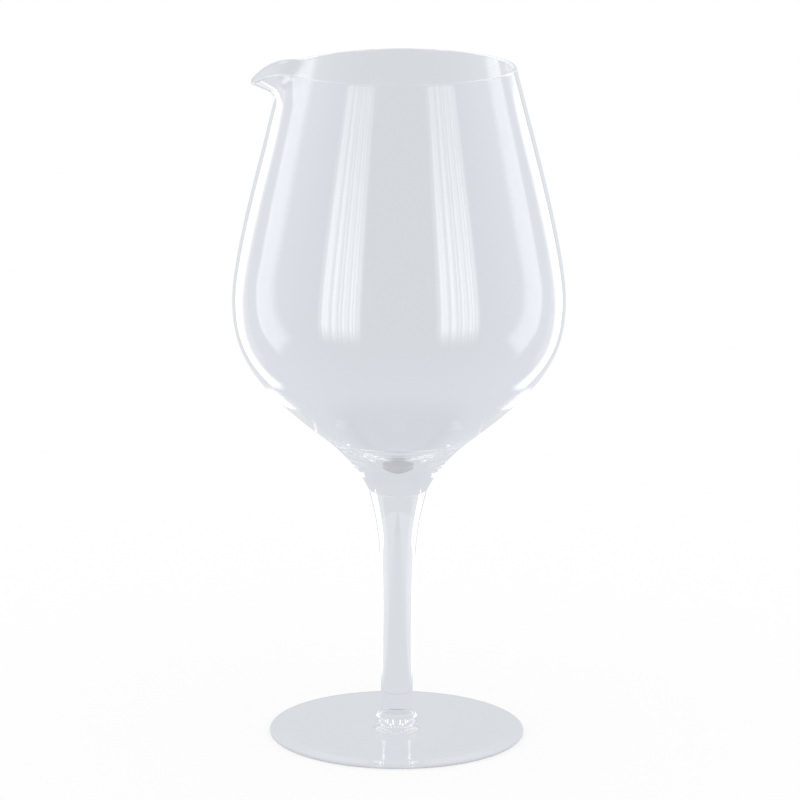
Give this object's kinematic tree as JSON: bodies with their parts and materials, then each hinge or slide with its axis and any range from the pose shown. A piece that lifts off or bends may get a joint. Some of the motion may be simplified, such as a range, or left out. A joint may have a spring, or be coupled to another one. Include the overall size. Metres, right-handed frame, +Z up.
{
  "type": "wine carafe",
  "caption": "Clear glass wine carafe shaped like a large stemmed goblet, with a pouring lip drawn from the rim of its bowl, a drawn stem and a flat round foot.",
  "frame": {"origin": "centre of the ring that the foot rests on, on the axis of the carafe", "axes": "+Z up along the axis, from the foot to the rim; the pouring lip points along -X"},
  "size_m": [0.17, 0.17, 0.35],
  "materials": {
    "bowl_glass": "clear blown glass, fire-polished rim",
    "stem_glass": "clear drawn glass, fire-polished",
    "foot_glass": "clear spun glass, rounded edge"
  },
  "bodies": {
    "root": {"bowl": "bowl_glass", "stem": "stem_glass", "foot": "foot_glass"}
  },
  "joints": []
}
